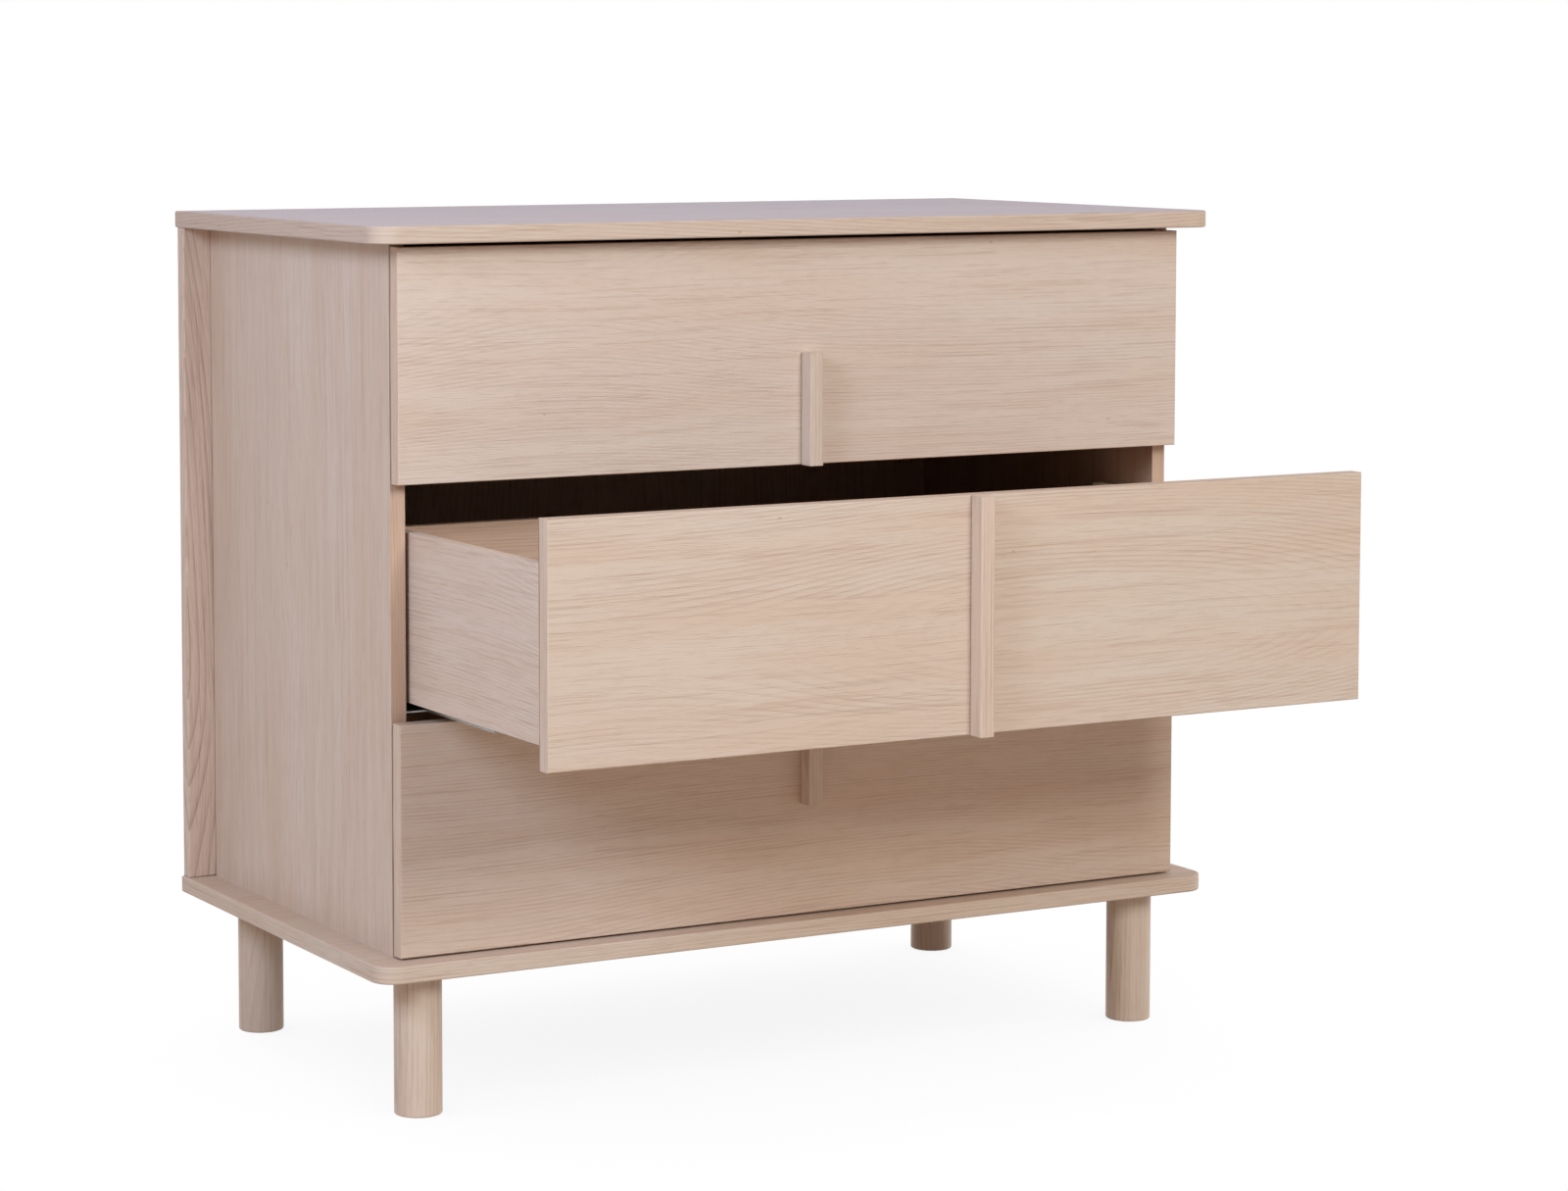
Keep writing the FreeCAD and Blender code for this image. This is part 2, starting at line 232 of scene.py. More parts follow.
# %% Lamps
lamp_target = Vector((0, 0, 0.5))
lamps = {
    "front_softbox": {"turn": 3, "rise": 28, "distance": 5, "level": 0.49,
                      "colour": (0.96, 1, 0.99), "size": (1.6, 1.6)},
    "left_softbox": {"turn": -65, "rise": 28, "distance": 3.2, "level": 0.49,
                     "colour": (0.66, 0.8, 1), "size": (1, 1)},
    "rear_softbox": {"turn": 180, "rise": 5, "distance": 5, "level": 0.5,
                     "colour": (0.8, 0.92, 1), "size": (2.4, 1.2)},
    "right_softbox": {"turn": 95, "rise": 5, "distance": 5, "level": 0.35,
                      "colour": (0.8, 0.92, 1), "size": (2.4, 1.2)},
}
chest_only_lamps = ("rear_softbox", "right_softbox")
lit_pieces = bpy.data.collections.new("chest")
for piece in chest.values():
    lit_pieces.objects.link(piece)


def hang_softbox(name, turn, rise, distance, level, colour, size):
    """A lamp that faces the chest, turned from its front and raised above the floor by angles in degrees."""
    light = bpy.data.lights.new(name, "AREA")
    light.shape = "RECTANGLE"
    light.size, light.size_y = size
    light.energy = level * math.pi ** 2 * distance ** 2
    light.color = colour
    heading = math.radians(turn)
    climb = math.radians(rise)
    flat = math.cos(climb)
    bearing = Vector((math.sin(heading) * flat, -math.cos(heading) * flat, math.sin(climb)))
    softbox = bpy.data.objects.new(name, light)
    softbox.location = lamp_target + bearing * distance
    softbox.rotation_euler = (-bearing).to_track_quat("-Z", "Y").to_euler()
    scene.collection.objects.link(softbox)
    return softbox


for name, lamp in lamps.items():
    softbox = hang_softbox(name, **lamp)
    if name in chest_only_lamps:
        softbox.visible_glossy = False
        softbox.light_linking.receiver_collection = lit_pieces
    print(name, round(softbox.data.energy), "W")

# %% [markdown]
# An effect that several materials share is a node group: it is built once, and each material places it
# with its own values. A group has named sockets, one for each thing that it is given or makes.

# %% Helpers for node groups
NUMBER = "NodeSocketFloat"
COLOUR = "NodeSocketColor"
PLACE = "NodeSocketVector"


def new_group(name, inputs, outputs):
    """An empty shader node group with named sockets: its tree, what it is given, and what it makes."""
    tree = bpy.data.node_groups.new(name, "ShaderNodeTree")
    for label, kind in inputs.items():
        tree.interface.new_socket(label, in_out="INPUT", socket_type=kind)
    for label, kind in outputs.items():
        tree.interface.new_socket(label, in_out="OUTPUT", socket_type=kind)
    return tree, tree.nodes.new("NodeGroupInput").outputs, tree.nodes.new("NodeGroupOutput").inputs


def place_group(tree, group, inputs):
    """Place a group in a material, and give back what it makes."""
    return add_node(tree, "ShaderNodeGroup", inputs, node_tree=group).outputs


def axes_of(tree, vector):
    """The three numbers of a coordinate."""
    return add_node(tree, "ShaderNodeSeparateXYZ", {0: vector}).outputs


def stretch(tree, vector, factors):
    """Multiply a coordinate by its own factor along each axis."""
    inputs = {0: vector, 1: factors}
    return add_node(tree, "ShaderNodeVectorMath", inputs, operation="MULTIPLY").outputs[0]


def weighted_sum(tree, *pairs):
    """The sum of two values, each times its own weight."""
    return calculate(tree, "ADD", *[calculate(tree, "MULTIPLY", value, weight) for value, weight in pairs])


def marks(tree, place, changes, limits, span=(0, 1), detail=1):
    """Random marks that change so many times per metre along each axis, eased between two limits."""
    return ramp(tree, noise(tree, stretch(tree, place, changes), detail), *limits, *span)


print("helpers for node groups ready")

# %% [markdown]
# The boards are faced with pale oak. A sheet of oak shows three things at once: growth rings, which run
# almost straight along the board and here and there bend into long arches; fine fibres; and short dark
# pores. An image of oak would do, but a made-up one never repeats and can run along any board. The rings
# are slices through a tree: the distance to a heart line, whose depth below the sheet changes slowly
# along the board. Where the heart comes near the surface the rings close into arches.

# %% Growth rings
leaf_half_width = 0.30
heart_depth = {"changes": (1.0, 0.6, 0.6), "limits": (0.3, 0.7), "span": (0.04, 0.10)}
heart_reach = (0.01, 0.06)
lines_at_heart = 0.15
late_wood_sharpness = 4


def growth_rings(tree, place, across, wander, spacing):
    """Rings that go from pale early wood to a sharp line of late wood, with faint lines at the heart."""
    from_heart = calculate(tree, "PINGPONG", across, leaf_half_width)
    depth = marks(tree, place, **heart_depth)
    squares = [calculate(tree, "POWER", length, 2) for length in (from_heart, depth)]
    radius = calculate(tree, "SQRT", calculate(tree, "ADD", *squares))
    rings = calculate(tree, "DIVIDE", calculate(tree, "ADD", radius, wander), spacing)
    late_wood = calculate(tree, "POWER", calculate(tree, "FRACT", rings), late_wood_sharpness)
    return calculate(tree, "MULTIPLY", late_wood, ramp(tree, from_heart, *heart_reach, lines_at_heart, 1))


print("leaf width:", 2 * leaf_half_width, "m")

# %% [markdown]
# Fibres are noise that is drawn out along the board: it changes a few times per metre along it, and ten
# to a hundred times as often across it. Dashes are thin streaks, broken by a slower noise. Pin knots are
# small dots, scattered so that each has about as much room as the next.

# %% Fibres, pores and knots
fibre_marks = {
    "line_fading": {"changes": (4, 80, 80), "limits": (0.32, 0.58)},
    "dash_breaks": {"changes": (13, 170, 170), "limits": (0.40, 0.58)},
    "streaks": {"changes": (5, 520, 520), "limits": (0.50, 0.62)},
    "pores": {"changes": (45, 1250, 1250), "limits": (0.54, 0.70)},
    "bands": {"changes": (4, 34, 34), "limits": (0.36, 0.64), "detail": 2},
}
knot_spacing = 0.28
knot_size = 0.002
knots_along_share = 0.6


def fibres_of(tree, place):
    """All marks that follow the fibres, by name."""
    return {name: marks(tree, place, **values) for name, values in fibre_marks.items()}


def pin_knots(tree, place):
    """1 in the middle of a pin knot, easing to 0 at its rim."""
    knot_place = stretch(tree, place, (knots_along_share / knot_spacing, 1 / knot_spacing, 0))
    inputs = {"Vector": knot_place, "Scale": 1}
    to_knot = add_node(tree, "ShaderNodeTexVoronoi", inputs, voronoi_dimensions="2D").outputs["Distance"]
    return ramp(tree, to_knot, 0, knot_size / knot_spacing, 1, 0)


print("kinds of marks along the fibres:", len(fibre_marks))

# %% [markdown]
# The group lays these over each other: a ground that drifts between two tones, then the dark lines of the
# rings and the dashes, then pores and knots. Dashes and pores are also a little rougher and lie a little
# lower.

# %% Oak grain, a group for every wooden piece
wander_changes = (1.7, 6, 6)
tone_clouds = {"changes": (1.7, 7, 7), "limits": (0.36, 0.64)}
band_share = 0.5
line_share = 0.62
dash_share = 0.32
pore_share = 0.26
dash_roughness = 0.06
pore_roughness = 0.12
dash_height = -0.4
pore_height = -1


def build_oak_grain():
    inputs = {"Place": PLACE, "Light": COLOUR, "Dark": COLOUR, "Blush": COLOUR,
              "Ring spacing": NUMBER, "Figure": NUMBER, "Banding": NUMBER, "Base roughness": NUMBER}
    outputs = {"Color": COLOUR, "Roughness": NUMBER, "Height": NUMBER}
    tree, given, made = new_group("oak_grain", inputs, outputs)
    place = given["Place"]
    along, across, below = axes_of(tree, place)
    waves = noise(tree, stretch(tree, place, wander_changes), detail=1)
    wander = calculate(tree, "MULTIPLY", waves, given["Figure"])
    drift = calculate(tree, "ADD", across, wander)
    drifting = add_node(tree, "ShaderNodeCombineXYZ", {0: along, 1: drift, 2: below}).outputs[0]
    fibre = fibres_of(tree, drifting)
    rings = growth_rings(tree, place, across, wander, given["Ring spacing"])
    lines = calculate(tree, "MULTIPLY", rings, fibre["line_fading"])
    dashes = calculate(tree, "MULTIPLY", fibre["streaks"], fibre["dash_breaks"])
    pores = fibre["pores"]
    clouds = marks(tree, place, **tone_clouds)
    patches = weighted_sum(tree, (fibre["bands"], band_share), (clouds, 1 - band_share))
    blush = calculate(tree, "MULTIPLY", patches, given["Banding"])
    ground = mix_colour(tree, blush, given["Light"], given["Blush"])
    darkness = weighted_sum(tree, (lines, line_share), (dashes, dash_share))
    toned = mix_colour(tree, darkness, ground, given["Dark"])
    pore_tone = calculate(tree, "MULTIPLY", pores, pore_share)
    pits = calculate(tree, "MAXIMUM", pore_tone, pin_knots(tree, place))
    feed(tree, made["Color"], mix_colour(tree, pits, toned, given["Dark"]))
    uneven = weighted_sum(tree, (dashes, dash_roughness), (pores, pore_roughness))
    feed(tree, made["Roughness"], calculate(tree, "ADD", given["Base roughness"], uneven))
    feed(tree, made["Height"], weighted_sum(tree, (dashes, dash_height), (pores, pore_height)))
    return tree


oak_grain = build_oak_grain()
print("oak grain nodes:", len(oak_grain.nodes))

# %% [markdown]
# Each board needs its own piece of the tree, with the grain along its length. So a board's material picks
# which axis of the chest runs along the grain and which run across it, and moves by a seed: a number of
# its own. A thin edge band has its grain along the edge, so fronts and plates switch to other axes on
# their edges.

# %% Where a board lies in the tree
seed_step = (3.71, 0.537, 1.93)
band_seed_step = 0.5
least_facing = 0.6


def axis_sum(tree, axes, letters):
    """One axis of the chest, or the sum of two."""
    values = [axes[letter.upper()] for letter in letters]
    return values[0] if len(values) == 1 else calculate(tree, "ADD", *values)


def tree_place(tree, along, across, seed):
    """Coordinates with the grain along X, from the axes of the chest named in along and across."""
    axes = axes_of(tree, surface_place(tree))
    picked = [axis_sum(tree, axes, letters) for letters in (along, *across)]
    board = add_node(tree, "ShaderNodeCombineXYZ", dict(enumerate(picked))).outputs[0]
    offset = [step * seed for step in seed_step]
    return add_node(tree, "ShaderNodeVectorMath", {0: board, 1: offset}, operation="ADD").outputs[0]


def facing(tree, axis):
    """1 where the surface faces along that axis of the chest, either way, else 0."""
    normal = tree.nodes.new("ShaderNodeTexCoord").outputs["Normal"]
    share = calculate(tree, "ABSOLUTE", axes_of(tree, normal)[axis.upper()])
    return calculate(tree, "GREATER_THAN", share, least_facing)


def switch_place(tree, share, first, second):
    """The first coordinates where the share is 0, the second where it is 1."""
    # Coordinates are sockets 4 and 5 of a mix node.
    return add_node(tree, "ShaderNodeMix", {0: share, 4: first, 5: second}, data_type="VECTOR").outputs[1]


print("board coordinates ready")

# %% [markdown]
# The oak has three colours: a light and a blush one for the ground, and a dark one for lines and pores.
# They are written as they look on a screen, from 0 to 255, and turned into the linear light that the
# renderer works with. A tint multiplies all three, so every board stays the same wood.

# %% Oak colours
screen_levels = 255
screen_offset = 0.055
screen_power = 2.4


def seen_colour(*levels):
    """A colour's red, green and blue as a screen shows them, as linear light with full opacity."""
    shares = [level / screen_levels for level in levels]
    linear = [((share + screen_offset) / (1 + screen_offset)) ** screen_power for share in shares]
    return (*linear, 1)


oak_tones = {"Light": seen_colour(217, 201, 186), "Dark": seen_colour(186, 158, 138),
             "Blush": seen_colour(213, 189, 169)}


def tinted(colour, tint):
    """A colour with its red, green and blue multiplied."""
    return (*[level * share for level, share in zip(colour, tint)], 1)


def oak_colours(tint):
    """The three colours of the grain, tinted."""
    return {label: tinted(colour, tint) for label, colour in oak_tones.items()}


def overlaid(tree, colours, mask, tint):
    """The three colours of the grain, with another tint where the mask is 1."""
    covers = oak_colours(tint)
    return {label: mix_colour(tree, mask, colour, covers[label]) for label, colour in colours.items()}


print("oak tones:", ", ".join(oak_tones))

# %% [markdown]
# One function turns coordinates and colours into finished oak: grain colours into the base colour, the
# fibres into the roughness, and the pores into a very shallow bump under a matt lacquer.

# %% Oak material
pore_depth = 0.0002
pore_bump_strength = 0.5
lacquer_haze = (0.72, 0.76, 1.0, 1)
lacquer_haze_roughness = 0.4


def show_surface(tree, inputs):
    """The one shader that a material shows."""
    shader = add_node(tree, "ShaderNodeBsdfPrincipled", inputs)
    add_node(tree, "ShaderNodeOutputMaterial", {"Surface": shader.outputs[0]})


def finish_oak(tree, place, colours, ring_spacing=0.0033, figure=0.018, banding=0.75,
               roughness=0.45, gloss=0.5, sheen=0):
    """Oak grain at those coordinates, under a matt lacquer."""
    grain = place_group(tree, oak_grain, {"Place": place, **colours, "Ring spacing": ring_spacing,
                                          "Figure": figure, "Banding": banding, "Base roughness": roughness})
    relief = {"Height": grain["Height"], "Distance": pore_depth, "Strength": pore_bump_strength}
    bump = add_node(tree, "ShaderNodeBump", relief)
    show_surface(tree, {"Base Color": grain["Color"], "Roughness": grain["Roughness"],
                        "Normal": bump.outputs[0], "Specular IOR Level": gloss, "Sheen Weight": sheen,
                        "Sheen Tint": lacquer_haze, "Sheen Roughness": lacquer_haze_roughness})


def dress(node, material):
    """Give a piece of the chest its finish."""
    for slot in chest[node].material_slots:
        slot.material = material


print("pores are", pore_depth * 1000, "mm deep")

# %% [markdown]
# The two plates: grain along the width on the faces. The edge band runs round the front and the ends in
# one piece, so along the band the sum of the two flat axes will do: it changes steadily along the front
# and along the ends. The camera looks along the top at a very low angle, where its matt lacquer shows a
# cool haze: a sheen does that. The top's faces are also tinted darker and cooler than the oak elsewhere:
# that tint is painted shade, for the light that the top gets less of.

# %% Top and bottom plate
plate_seed = 1
plate_band_tint = (0.97, 0.96, 0.95)
# The top's darker, cooler tint is painted shade.
plate_finishes = {"top_panel": {"tint": (0.85, 0.88, 0.93), "roughness": 0.7, "gloss": 0.1, "sheen": 0.3},
                  "bottom_panel": {"tint": (0.92, 0.88, 0.87), "roughness": 0.5}}


def plate_oak(name, seed, tint, **finish):
    material, tree = new_material(name)
    flat = facing(tree, "z")
    face = tree_place(tree, "x", ["y", "z"], seed)
    band = tree_place(tree, "xy", ["z"], seed + band_seed_step)
    colours = overlaid(tree, oak_colours(plate_band_tint), flat, tint)
    finish_oak(tree, switch_place(tree, flat, band, face), colours, **finish)
    return material


for seed, (node, finish) in enumerate(plate_finishes.items(), start=plate_seed):
    dress(node, plate_oak(node + "_oak", seed, **finish))
print("plates dressed:", len(plate_finishes))

# %% [markdown]
# Where a side meets the back, and along the foot of the back, the colour goes down over the last
# millimetre or two, here more and there less: this is painted shade, a dark line where the boards meet.
# The same painted line of shade shows again where a front's end band is glued on, so it is a group that
# any board can take.

# %% Painted shade along the joints
painted_shade_line_width = 0.0018
painted_shade_tint = (0.42, 0.32, 0.28)
line_core_share = 0.25
shade_line_variation = {"changes": (14, 14, 14), "limits": (0.3, 0.6), "span": (0.45, 1), "detail": 2}


def build_painted_joint_shade():
    inputs = {"Place": PLACE, "Distance": NUMBER, "Width": NUMBER}
    tree, given, made = new_group("painted_joint_shade", inputs, {"Mask": NUMBER})
    # The line is painted shade: darkest at its core, and uneven along its length.
    core = calculate(tree, "MULTIPLY", given["Width"], line_core_share)
    near = ramp(tree, calculate(tree, "ABSOLUTE", given["Distance"]), core, given["Width"], 1, 0)
    shade_variation = marks(tree, given["Place"], **shade_line_variation)
    feed(tree, made["Mask"], calculate(tree, "MULTIPLY", near, shade_variation))
    return tree


painted_joint_shade = build_painted_joint_shade()


def along_axis(tree, axis):
    """How far along one axis of the chest the surface lies, in metres."""
    return axes_of(tree, surface_place(tree))[axis.upper()]


def painted_shade_at(tree, axis, plane, width):
    """1 on the painted line of shade where the board crosses that plane, easing to 0 at the line's width."""
    distance = calculate(tree, "SUBTRACT", along_axis(tree, axis), plane)
    inputs = {"Place": surface_place(tree), "Distance": distance, "Width": width}
    return place_group(tree, painted_joint_shade, inputs)["Mask"]


print("joint line nodes:", len(painted_joint_shade.nodes))

# %% [markdown]
# Sides and back stand upright, so their grain does too. The sum of the two flat axes serves both the wide
# face and the narrow front edge, because one of the two is constant on each. The edges that face front and
# back are painted browner, as painted shade, and the inside of the case is painted a darker brown, as
# painted shade for the gap over the open drawer.

# %% Sides
side_seed = 5
side_names = ("left_side_panel", "right_side_panel")
side_tint = (0.99, 0.98, 0.99)
painted_edge_shade = (0.87, 0.77, 0.71)
painted_inside_shade = (0.6, 0.5, 0.44)


def within(tree, half_width):
    """1 where the surface lies less than that far from the middle of the chest, left or right, else 0."""
    return calculate(tree, "LESS_THAN", calculate(tree, "ABSOLUTE", along_axis(tree, "x")), half_width)


def side_oak(name, seed, rear, middle):
    material, tree = new_material(name)
    # Painted shade: a darker brown inside the case, browner front and rear edges, a dark line at the rear.
    colours = overlaid(tree, oak_colours(side_tint), within(tree, middle), painted_inside_shade)
    colours = overlaid(tree, colours, facing(tree, "y"), painted_edge_shade)
    colours = overlaid(tree, colours, painted_shade_at(tree, "y", rear, painted_shade_line_width), painted_shade_tint)
    finish_oak(tree, tree_place(tree, "z", ["xy"], seed), colours, figure=0.035, banding=0.9)
    return material


for seed, node in enumerate(side_names, start=side_seed):
    low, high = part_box(node)
    side_middle = abs(low[0] + high[0]) / 2
    dress(node, side_oak(node + "_oak", seed, high[1], side_middle))
print("sides dressed:", len(side_names))

# %% [markdown]
# The back is wider than the case, so a strip of it shows beside each side. Its sheet has a bolder figure:
# wider rings that wander further. Only its inner half, between the sides, is painted the darker brown of
# the painted shade inside the case, and its foot gets a painted line of shade.

# %% Back
back_seed = 7
back_tint = (1.02, 0.95, 0.93)
back_line_tint = (0.72, 0.62, 0.58)


def back_oak(name, seed, foot, middle, half_width):
    material, tree = new_material(name)
    inner_half = calculate(tree, "LESS_THAN", along_axis(tree, "y"), middle)
    inside = calculate(tree, "MULTIPLY", within(tree, half_width), inner_half)
    colours = {**oak_colours(back_tint), "Dark": tinted(oak_tones["Dark"], back_line_tint)}
    # Painted shade: the inner half darker brown, and a dark line along the foot.
    colours = overlaid(tree, colours, inside, painted_inside_shade)
    colours = overlaid(tree, colours, painted_shade_at(tree, "z", foot, painted_shade_line_width), painted_shade_tint)
    place = tree_place(tree, "z", ["xy"], seed)
    finish_oak(tree, place, colours, ring_spacing=0.0062, figure=0.09, banding=0.3)
    return material


low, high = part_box("back_panel")
back_middle = (low[1] + high[1]) / 2
case_half_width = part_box("right_side_panel")[1][0]
dress("back_panel", back_oak("back_panel_oak", back_seed, low[2], back_middle, case_half_width))
print("back shows", round(high[0] - case_half_width, 3), "m beside each side")

# %% [markdown]
# A drawer front is the face of the chest: grain from left to right, with an upright edge band at each
# end. The band is a strip of its own, and the seam behind it gets a painted line of shade. The long top
# and bottom edges are painted browner, as painted shade. The end bands are painted a little warmer, to
# offset the cool lamp on the left, and the three fronts' tints are partly painted light: the bottom
# front, in the open drawer's shade, is lighter and warmer, and the top one is cooler, as painted cool
# light from the left.

# %% Drawer fronts
front_seed = 10
drawer_names = ("bottom", "middle", "top")
# Partly painted light: the bottom front lighter and warmer for the open drawer's shade, the top one cooler.
front_tints_with_painted_light = {"bottom": (1.03, 1.005, 0.99), "middle": (0.98, 0.985, 0.99), "top": (1.01, 1.015, 1.035)}
# Painted light: the end bands are warmer to offset the cool lamp on the left.
end_band_painted_warmth = (1.0, 0.95, 0.92)
painted_long_edge_shade = (0.84, 0.77, 0.72)
painted_seam_shade_width = 0.003


def front_oak(name, seed, tint, rear):
    material, tree = new_material(name)
    on_end = facing(tree, "x")
    face = tree_place(tree, "x", ["yz"], seed)
    end_band = tree_place(tree, "z", ["y"], seed + band_seed_step)
    # Painted shade: a dark line at the seam behind the end band, and browner long edges.
    painted_seam_shade = calculate(tree, "MULTIPLY", on_end, painted_shade_at(tree, "y", rear, painted_seam_shade_width))
    colours = overlaid(tree, oak_colours(tint), on_end, end_band_painted_warmth)
    colours = overlaid(tree, colours, facing(tree, "z"), painted_long_edge_shade)
    colours = overlaid(tree, colours, painted_seam_shade, painted_shade_tint)
    finish_oak(tree, switch_place(tree, on_end, face, end_band), colours)
    return material


for seed, drawer in enumerate(drawer_names, start=front_seed):
    node = f"{drawer}_drawer_front"
    rear_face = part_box(node)[1][1]
    dress(node, front_oak(f"{drawer}_front_oak", seed, front_tints_with_painted_light[drawer], rear_face))
print("fronts dressed:", len(drawer_names))

# %% [markdown]
# Handles and legs are solid oak, so their grain goes right through: it takes all three axes, and the
# round leg shows the rings sliced at every angle, as a turned leg does.

# %% Handles and legs
solid_seed = 20
solid_ring_spacing = 0.004
plain = (1, 1, 1)
leg_names = ("front_left_leg", "front_right_leg", "rear_left_leg", "rear_right_leg")
handle_names = tuple(f"{drawer}_drawer_handle" for drawer in drawer_names)


def solid_oak(name, seed):
    material, tree = new_material(name)
    place = tree_place(tree, "z", ["x", "y"], seed)
    finish_oak(tree, place, oak_colours(plain), ring_spacing=solid_ring_spacing)
    return material


for seed, node in enumerate(leg_names + handle_names, start=solid_seed):
    dress(node, solid_oak(node + "_oak", seed))
print("legs:", len(leg_names), "handles:", len(handle_names))

# %% [markdown]
# The drawer boxes are of the same board. Sides have their grain along the depth, backs and bottoms along
# the width. One table of the four boards serves all three drawers, and each board of each drawer gets a
# seed of its own.

# %% Drawer boxes
box_seed = 40
box_seed_step = 5
box_tint = (1.03, 1.03, 1.05)
# The drawer backs are painted browner: painted shade inside the drawers.
painted_box_back_shade = (0.94, 0.84, 0.78)
box_boards = {
    "left_side": {"along": "y", "across": ["xz"], "tint": box_tint},
    "right_side": {"along": "y", "across": ["xz"], "tint": box_tint},
    "back": {"along": "x", "across": ["yz"], "tint": painted_box_back_shade},
    "bottom": {"along": "x", "across": ["y"], "tint": box_tint},
}


def box_oak(name, seed, along, across, tint):
    material, tree = new_material(name)
    finish_oak(tree, tree_place(tree, along, across, seed), oak_colours(tint))
    return material


for row, (board, values) in enumerate(box_boards.items()):
    for seed, drawer in enumerate(drawer_names, start=box_seed + row * box_seed_step):
        dress(f"{drawer}_drawer_{board}", box_oak(f"{drawer}_{board}_oak", seed, **values))
print("drawer boxes dressed:", len(drawer_names), "of", len(box_boards), "boards")

# %% [markdown]
# Runners are folded from galvanised sheet: a pale grey metal with faint crystals and drawing marks along
# its length. Screws, bolts and cams are zinc plated, brighter and smoother. Both are one group with other
# values.

# %% Plated steel
crystals_per_metre = 140
drawing_marks = (900, 12, 900)
steel_clouds = (30, 30, 30)
steel_detail = 3
steel_cloud_share = 0.6
steel_tone_limits = (0.4, 1.4)
steel_roughness = (0.30, 0.46)


def build_plated_steel():
    inputs = {"Place": PLACE, "Bright": COLOUR, "Dull": COLOUR, "Crystal share": NUMBER}
    outputs = {"Color": COLOUR, "Roughness": NUMBER, "Height": NUMBER}
    tree, given, made = new_group("plated_steel", inputs, outputs)
    place = given["Place"]
    cells = add_node(tree, "ShaderNodeTexVoronoi", {"Vector": place, "Scale": crystals_per_metre})
    crystals = add_node(tree, "ShaderNodeSeparateColor", {0: cells.outputs["Color"]}).outputs[0]
    scratches = noise(tree, stretch(tree, place, drawing_marks), steel_detail)
    clouds = noise(tree, stretch(tree, place, steel_clouds), steel_detail)
    tone = weighted_sum(tree, (crystals, given["Crystal share"]), (clouds, steel_cloud_share))
    dulled = calculate(tree, "ADD", scratches, tone)
    feed(tree, made["Color"], mix_colour(tree, tone, given["Bright"], given["Dull"]))
    feed(tree, made["Roughness"], ramp(tree, dulled, *steel_tone_limits, *steel_roughness))
    feed(tree, made["Height"], scratches)
    return tree


plated_steel = build_plated_steel()
print("plated steel nodes:", len(plated_steel.nodes))

# %% [markdown]
# Two finishes come from that group. The pieces are found by their names: every rail takes the grey one,
# and all small fittings the bright one.

# %% Rails and fittings
scratch_depth = 0.00003
fitting_words = ("screws", "bolts", "nuts", "cams")


def steel_finish(name, bright, dull, crystal_share):
    material, tree = new_material(name)
    inputs = {"Place": surface_place(tree), "Bright": bright, "Dull": dull, "Crystal share": crystal_share}
    steel = place_group(tree, plated_steel, inputs)
    bump = add_node(tree, "ShaderNodeBump", {"Height": steel["Height"], "Distance": scratch_depth})
    show_surface(tree, {"Base Color": steel["Color"], "Metallic": 1, "Roughness": steel["Roughness"],
                        "Normal": bump.outputs[0]})
    return material


rail_steel = steel_finish("rail_steel_finish", bright=seen_colour(176, 174, 171),
                          dull=seen_colour(140, 138, 136), crystal_share=0.35)
zinc = steel_finish("zinc_finish", bright=seen_colour(222, 222, 220),
                    dull=seen_colour(190, 191, 190), crystal_share=0.1)
rail_nodes = [node for node in chest if node.endswith("_rail")]
fitting_nodes = [node for node in chest if node.endswith(fitting_words)]
for node in rail_nodes:
    dress(node, rail_steel)
for node in fitting_nodes:
    dress(node, zinc)
print("rails:", len(rail_nodes), "fittings:", len(fitting_nodes))

# %% [markdown]
# A screw or a cam is turned by a driver that grips in a cross-shaped recess. The solids have plain heads,
# and a bump could only paint a cross on them. A real recess has walls that catch the light and stays in
# the mesh, so each head gets a tapered cross cut out of a copy of its solid by a Boolean, and the copy
# stands in for the plain one. The heads are found in the mesh itself: each fastener is a group of joined
# points, and its head is the outer end.

# %% Find the heads
recessed_nodes = {"back_panel_screws": "case", "case_rail_screws": "case", "case_cams": "case"}
recessed_nodes.update({f"{drawer}_handle_screws": f"{drawer}_drawer" for drawer in drawer_names})


def joined_groups(shape):
    """The points of each separate solid in a mesh."""
    groups = []
    for start in shape.verts:
        if start.tag:
            continue
        start.tag = True
        group = [start]
        for point in group:
            for edge in point.link_edges:
                other = edge.other_vert(point)
                if not other.tag:
                    other.tag = True
                    group.append(other)
        groups.append([point.co.copy() for point in group])
    return groups


def head_of(points, outward):
    """The middle of a fastener's head, and the head's width."""
    lows, highs = zip(*[(min(values), max(values)) for values in zip(*points)])
    middle = (Vector(lows) + Vector(highs)) / 2
    reach = max((point - middle).dot(outward) for point in points)
    return middle + outward * reach, highs[2] - lows[2]


def outward_of(node, points):
    """Where a fastener's head faces: into the case for its own fittings, else to the back."""
    if node.startswith("case"):
        return Vector((-math.copysign(1, points[0].x), 0, 0))
    return Vector((0, 1, 0))


print("sets of fasteners with a recess:", len(recessed_nodes))

# %% [markdown]
# The plug that cuts a recess is two cross-shaped rings, a wide one just above the head and a narrow one
# at the bottom of the recess, joined by walls. Its reach, arms and depth are shares of the head's width,
# so small heads get small recesses.

# %% Cross plugs
recess_reach_share = 0.3
recess_arm_share = 0.07
recess_depth_share = 0.22
recess_taper = 0.45
above_head = 0.0005


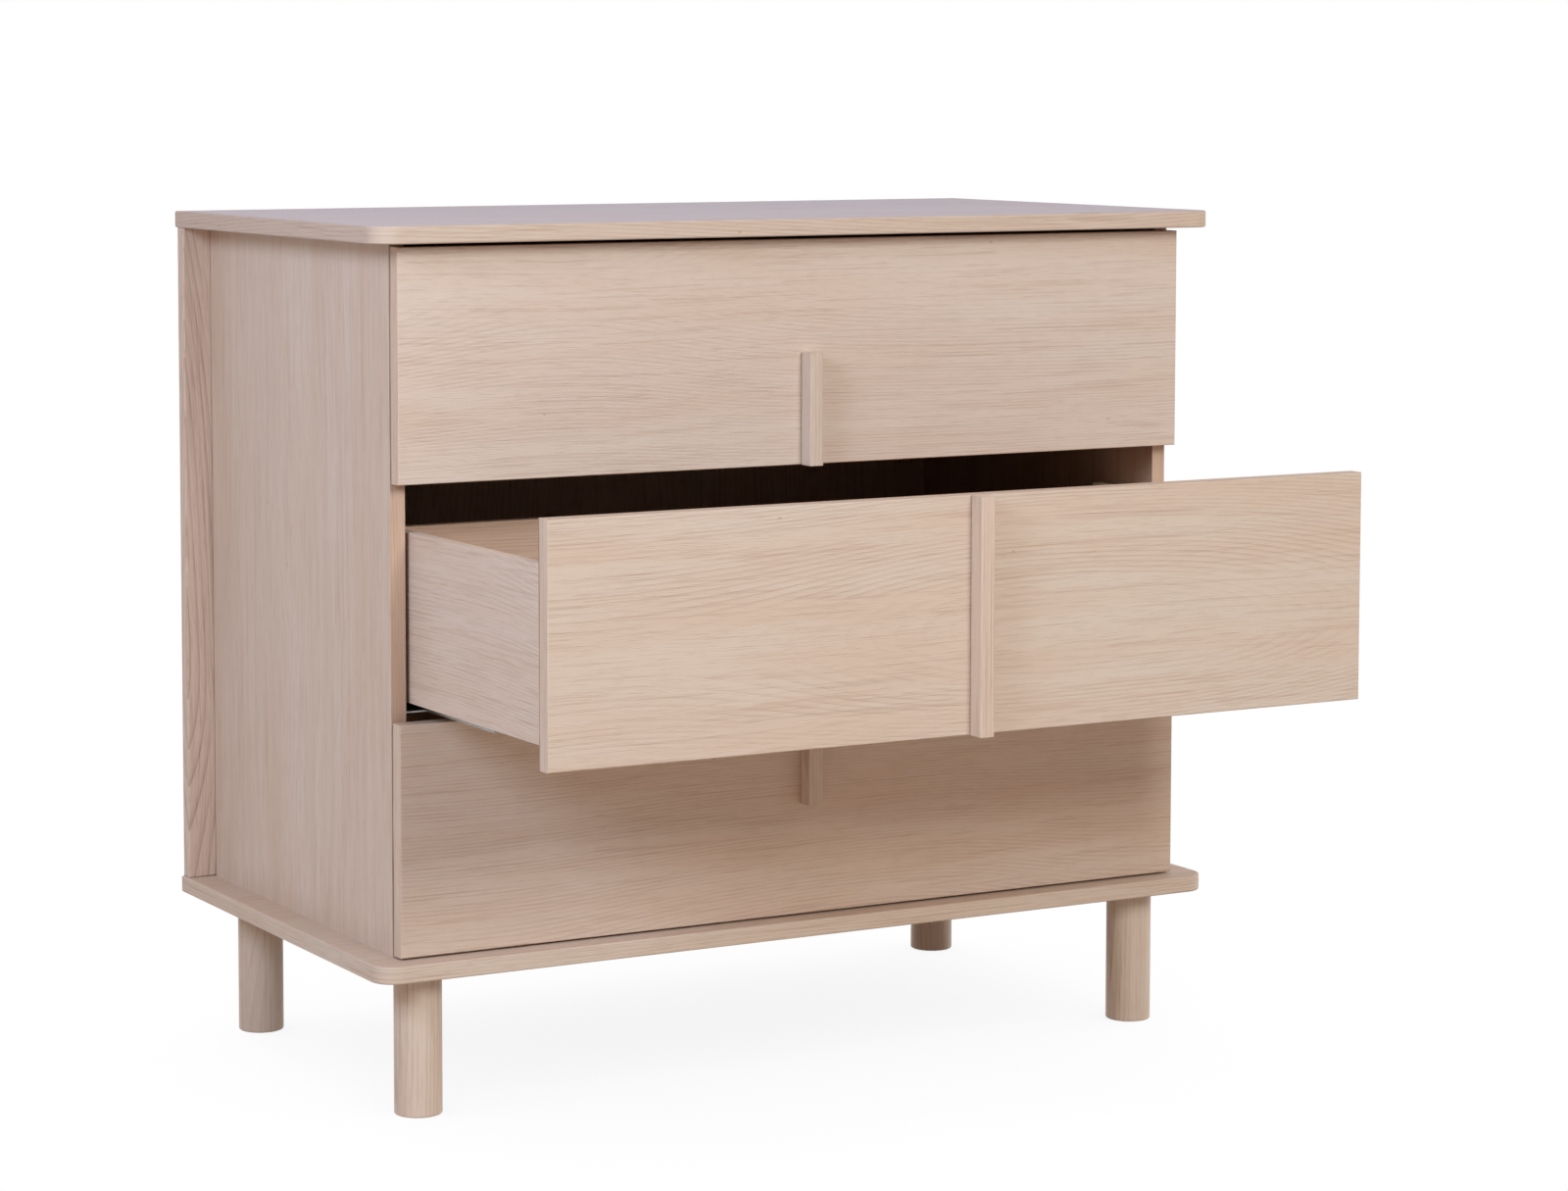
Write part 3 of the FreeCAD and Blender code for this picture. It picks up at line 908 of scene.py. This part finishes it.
def cross_outline(width):
    """The twelve corners of a cross, from three corners of one arm, turned a quarter three times."""
    reach = recess_reach_share * width
    arm = recess_arm_share * width
    outline = [(reach, -arm), (reach, arm), (arm, arm)]
    for quarter in range(3):
        outline += [(-y, x) for x, y in outline[-3:]]
    return outline


def add_cross(shape, head, outward, width):
    """A tapered plug with a cross-shaped outline, sunk into the head."""
    outline = cross_outline(width)
    turn = outward.to_track_quat("Z", "Y").to_matrix()
    rings = []
    for height, scale in ((above_head, 1), (-recess_depth_share * width, recess_taper)):
        corners = [Vector((x * scale, y * scale, height)) for x, y in outline]
        rings.append([shape.verts.new(head + turn @ corner) for corner in corners])
    for ring in rings:
        shape.faces.new(ring)
    wide, narrow = rings
    for number in range(len(outline)):
        shape.faces.new((wide[number - 1], narrow[number - 1], narrow[number], wide[number]))


print("corners of a cross:", len(cross_outline(1)))

# %% [markdown]
# The cut: each set of fasteners is copied, all its plugs are taken away in one Boolean, and the result is
# shaded anew, because the plain solid's own normals no longer fit. The piece rides the same body as the
# set it replaces.

# %% Cut the recesses
weld_distance = 0.000001
smooth_angle = math.radians(35)


def new_piece(name, shape):
    """An object made from a finished mesh builder."""
    mesh = bpy.data.meshes.new(name)
    shape.to_mesh(mesh)
    shape.free()
    piece = bpy.data.objects.new(name, mesh)
    scene.collection.objects.link(piece)
    return piece


def cut_away(piece, cutter):
    """Take the cutter's shape out of the piece, and remove the cutter."""
    cut = piece.modifiers.new("cross", "BOOLEAN")
    cut.operation = "DIFFERENCE"
    cut.object = cutter
    evaluated = piece.evaluated_get(bpy.context.evaluated_depsgraph_get())
    finished = bpy.data.meshes.new_from_object(evaluated)
    piece.modifiers.clear()
    piece.data = finished
    bpy.data.objects.remove(cutter)


def shade_by_angle(mesh):
    """Smooth round faces and sharp edges, in place of the normals of the plain solid."""
    if mesh.has_custom_normals:
        mesh.attributes.remove(mesh.attributes["custom_normal"])
    mesh.shade_smooth()
    mesh.set_sharp_from_angle(angle=smooth_angle)


def recess_heads(node, body):
    solids = bmesh.new()
    solids.from_mesh(chest[node].data)
    bmesh.ops.remove_doubles(solids, verts=solids.verts, dist=weld_distance)
    plugs = bmesh.new()
    for points in joined_groups(solids):
        outward = outward_of(node, points)
        head, width = head_of(points, outward)
        add_cross(plugs, head, outward, width)
    bmesh.ops.recalc_face_normals(plugs, faces=plugs.faces)
    piece = new_piece(node + "_recessed", solids)
    cut_away(piece, new_piece(node + "_cutter", plugs))
    shade_by_angle(piece.data)
    piece.data.materials.clear()
    piece.data.materials.append(zinc)
    lit_pieces.objects.link(piece)
    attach(piece, body)
    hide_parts(node)
    print(piece.name, "faces:", len(piece.data.polygons))


for node, body in recessed_nodes.items():
    recess_heads(node, body)

# %% [markdown]
# Dowels are plain beech, warmer in tone than the oak. They are hidden while the chest is whole, so the
# oak's grain with other colours and closer rings is enough, without a lacquer or a bump.

# %% Dowels
dowel_seed = 60
beech_light = seen_colour(222, 192, 160)
beech_dark = seen_colour(190, 150, 112)
dowel_nodes = [node for node in chest if node.endswith("dowels")]


def beech(name):
    material, tree = new_material(name)
    place = tree_place(tree, "x", ["y", "z"], dowel_seed)
    inputs = {"Place": place, "Light": beech_light, "Dark": beech_dark, "Blush": beech_light,
              "Ring spacing": 0.002, "Figure": 0.01, "Banding": 0, "Base roughness": 0.6}
    grain = place_group(tree, oak_grain, inputs)
    show_surface(tree, {"Base Color": grain["Color"], "Roughness": grain["Roughness"]})
    return material


beech_finish = beech("beech_dowel_finish")
for node in dowel_nodes:
    dress(node, beech_finish)
print("dowel groups:", len(dowel_nodes))
